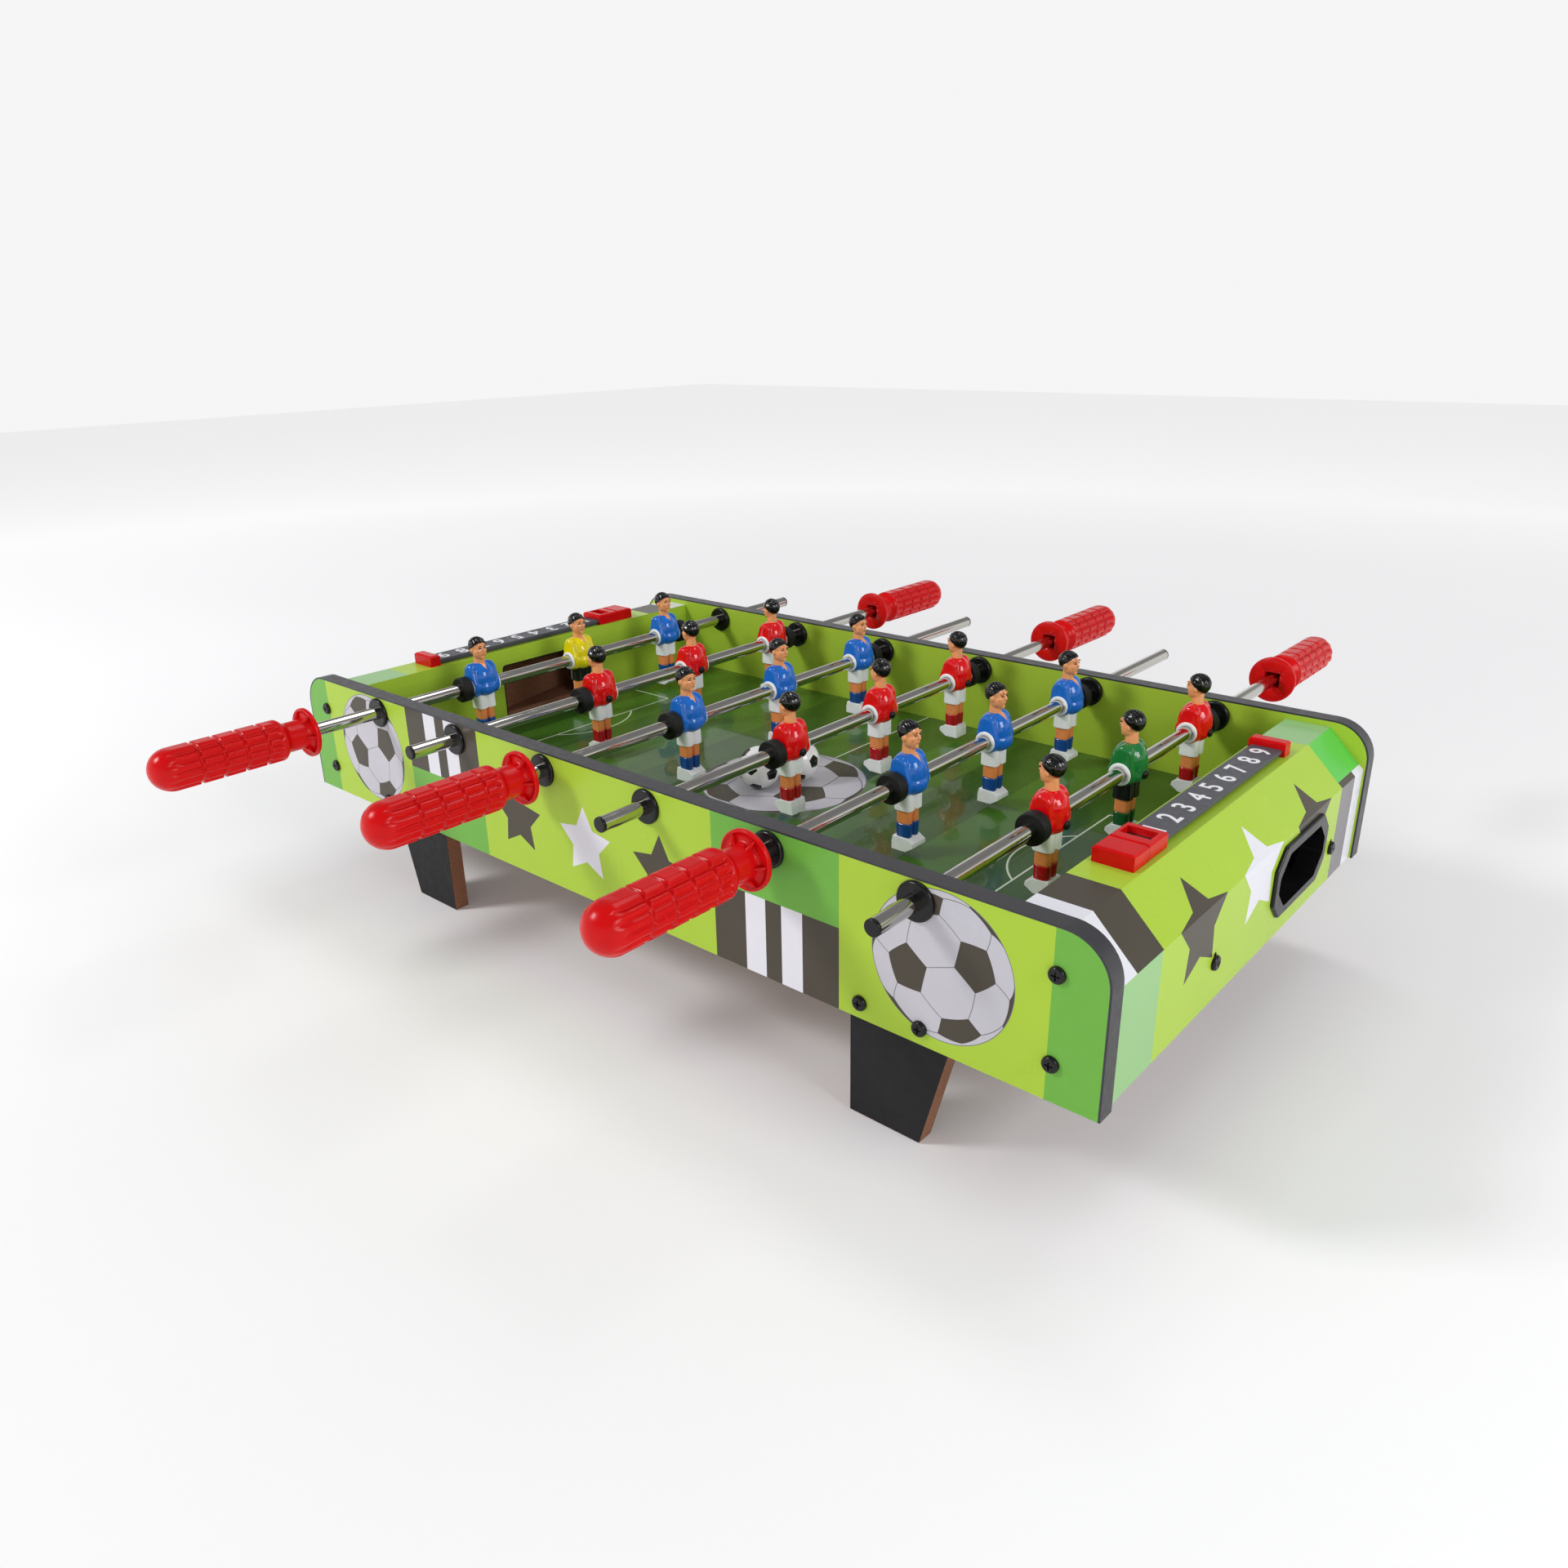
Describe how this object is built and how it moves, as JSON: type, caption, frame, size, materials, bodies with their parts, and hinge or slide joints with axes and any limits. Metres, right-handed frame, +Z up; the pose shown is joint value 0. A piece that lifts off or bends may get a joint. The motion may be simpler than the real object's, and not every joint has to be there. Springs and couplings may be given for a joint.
{
  "type": "tabletop foosball table",
  "caption": "Tabletop foosball table: sliding, spinning rods with painted figures, segmented grips, goals with ball-return cups, score counters and short tapered legs.",
  "frame": {"origin": "on the ground under the middle of the cabinet", "axes": "+X towards the right goal, +Y along the rods away from the near side, +Z up"},
  "size_m": [0.69, 0.7517, 0.1918],
  "materials": {
    "printed_board": "printed satin film on MDF",
    "edge_band": "satin",
    "leg_board": "charcoal film, brown MDF edges",
    "field_board": "glossy print",
    "raw_board": "raw MDF",
    "black_plastic": "satin",
    "rubber": "matte",
    "chrome": "polished",
    "red_plastic": "glossy",
    "blue_figure": "painted, glossy",
    "red_figure": "painted, glossy",
    "strip": "satin, white digits",
    "screw_black": "black oxide",
    "ball": "satin"
  },
  "bodies": {
    "cabinet": {"near_side_panel": "printed_board", "near_edge_band": "edge_band", "near_legs": "leg_board", "far_side_panel": "printed_board", "far_edge_band": "edge_band", "far_legs": "leg_board", "playing_field": "field_board", "right_goal_wall": "printed_board", "right_top_board": "printed_board", "right_slope_board": "printed_board", "right_outer_wall": "printed_board", "right_ball_ramp": "raw_board", "right_ball_cup": "black_plastic", "right_score_strip": "strip", "left_goal_wall": "printed_board", "left_top_board": "printed_board", "left_slope_board": "printed_board", "left_outer_wall": "printed_board", "left_ball_ramp": "raw_board", "left_ball_cup": "black_plastic", "left_score_strip": "strip", "score_end_caps": "red_plastic", "end_box_blocks": "raw_board", "cabinet_screws": "screw_black", "rod_bushings": "black_plastic", "bushing_nuts": "black_plastic"},
    "rod_1_slide_group": {"rod_1_bumpers": "rubber"},
    "rod_1": {"rod_1_tube": "chrome", "rod_1_handle": "red_plastic", "rod_1_end_cap": "black_plastic", "rod_1_players": "blue_figure"},
    "rod_2_slide_group": {"rod_2_bumpers": "rubber"},
    "rod_2": {"rod_2_tube": "chrome", "rod_2_handle": "red_plastic", "rod_2_end_cap": "black_plastic", "rod_2_players": "red_figure"},
    "rod_3_slide_group": {"rod_3_bumpers": "rubber"},
    "rod_3": {"rod_3_tube": "chrome", "rod_3_handle": "red_plastic", "rod_3_end_cap": "black_plastic", "rod_3_players": "blue_figure"},
    "rod_4_slide_group": {"rod_4_bumpers": "rubber"},
    "rod_4": {"rod_4_tube": "chrome", "rod_4_handle": "red_plastic", "rod_4_end_cap": "black_plastic", "rod_4_players": "red_figure"},
    "rod_5_slide_group": {"rod_5_bumpers": "rubber"},
    "rod_5": {"rod_5_tube": "chrome", "rod_5_handle": "red_plastic", "rod_5_end_cap": "black_plastic", "rod_5_players": "blue_figure"},
    "rod_6_slide_group": {"rod_6_bumpers": "rubber"},
    "rod_6": {"rod_6_tube": "chrome", "rod_6_handle": "red_plastic", "rod_6_end_cap": "black_plastic", "rod_6_players": "red_figure"},
    "right_score_slider": {"right_score_slider": "red_plastic"},
    "left_score_slider": {"left_score_slider": "red_plastic"},
    "ball_1": {"ball_1": "ball"},
    "ball_2": {"ball_2": "ball"}
  },
  "joints": [
    {"name": "rod_1_slide", "type": "slide", "parent": "cabinet", "child": "rod_1_slide_group", "axis": [0, 1, 0], "range_m": [-0.0545, 0.04931]},
    {"name": "rod_1_spin", "type": "hinge", "parent": "rod_1_slide_group", "child": "rod_1", "pos_m": [-0.24083, 0, 0.1526], "axis": [0, 1, 0], "continuous": true},
    {"name": "rod_2_slide", "type": "slide", "parent": "cabinet", "child": "rod_2_slide_group", "axis": [0, 1, 0], "range_m": [-0.09342, 0.01038]},
    {"name": "rod_2_spin", "type": "hinge", "parent": "rod_2_slide_group", "child": "rod_2", "pos_m": [-0.1445, 0, 0.1526], "axis": [0, 1, 0], "continuous": true},
    {"name": "rod_3_slide", "type": "slide", "parent": "cabinet", "child": "rod_3_slide_group", "axis": [0, 1, 0], "range_m": [-0.09342, 0.01038]},
    {"name": "rod_3_spin", "type": "hinge", "parent": "rod_3_slide_group", "child": "rod_3", "pos_m": [-0.04817, 0, 0.1526], "axis": [0, 1, 0], "continuous": true},
    {"name": "rod_4_slide", "type": "slide", "parent": "cabinet", "child": "rod_4_slide_group", "axis": [0, 1, 0], "range_m": [-0.09342, 0.01038]},
    {"name": "rod_4_spin", "type": "hinge", "parent": "rod_4_slide_group", "child": "rod_4", "pos_m": [0.04817, 0, 0.1526], "axis": [0, 1, 0], "continuous": true},
    {"name": "rod_5_slide", "type": "slide", "parent": "cabinet", "child": "rod_5_slide_group", "axis": [0, 1, 0], "range_m": [-0.09342, 0.01038]},
    {"name": "rod_5_spin", "type": "hinge", "parent": "rod_5_slide_group", "child": "rod_5", "pos_m": [0.1445, 0, 0.1526], "axis": [0, 1, 0], "continuous": true},
    {"name": "rod_6_slide", "type": "slide", "parent": "cabinet", "child": "rod_6_slide_group", "axis": [0, 1, 0], "range_m": [-0.09342, 0.01038]},
    {"name": "rod_6_spin", "type": "hinge", "parent": "rod_6_slide_group", "child": "rod_6", "pos_m": [0.24083, 0, 0.1526], "axis": [0, 1, 0], "continuous": true},
    {"name": "right_score_slide", "type": "slide", "parent": "cabinet", "child": "right_score_slider", "axis": [0, 1, 0], "range_m": [0, 0.1699]},
    {"name": "left_score_slide", "type": "slide", "parent": "cabinet", "child": "left_score_slider", "axis": [0, -1, 0], "range_m": [0, 0.1699]},
    {"name": "ball_1_lift", "type": "slide", "parent": "cabinet", "child": "ball_1", "axis": [0, 0, 1], "range_m": [0, 0.15]},
    {"name": "ball_2_lift", "type": "slide", "parent": "cabinet", "child": "ball_2", "axis": [0, 0, 1], "range_m": [0, 0.15]}
  ]
}
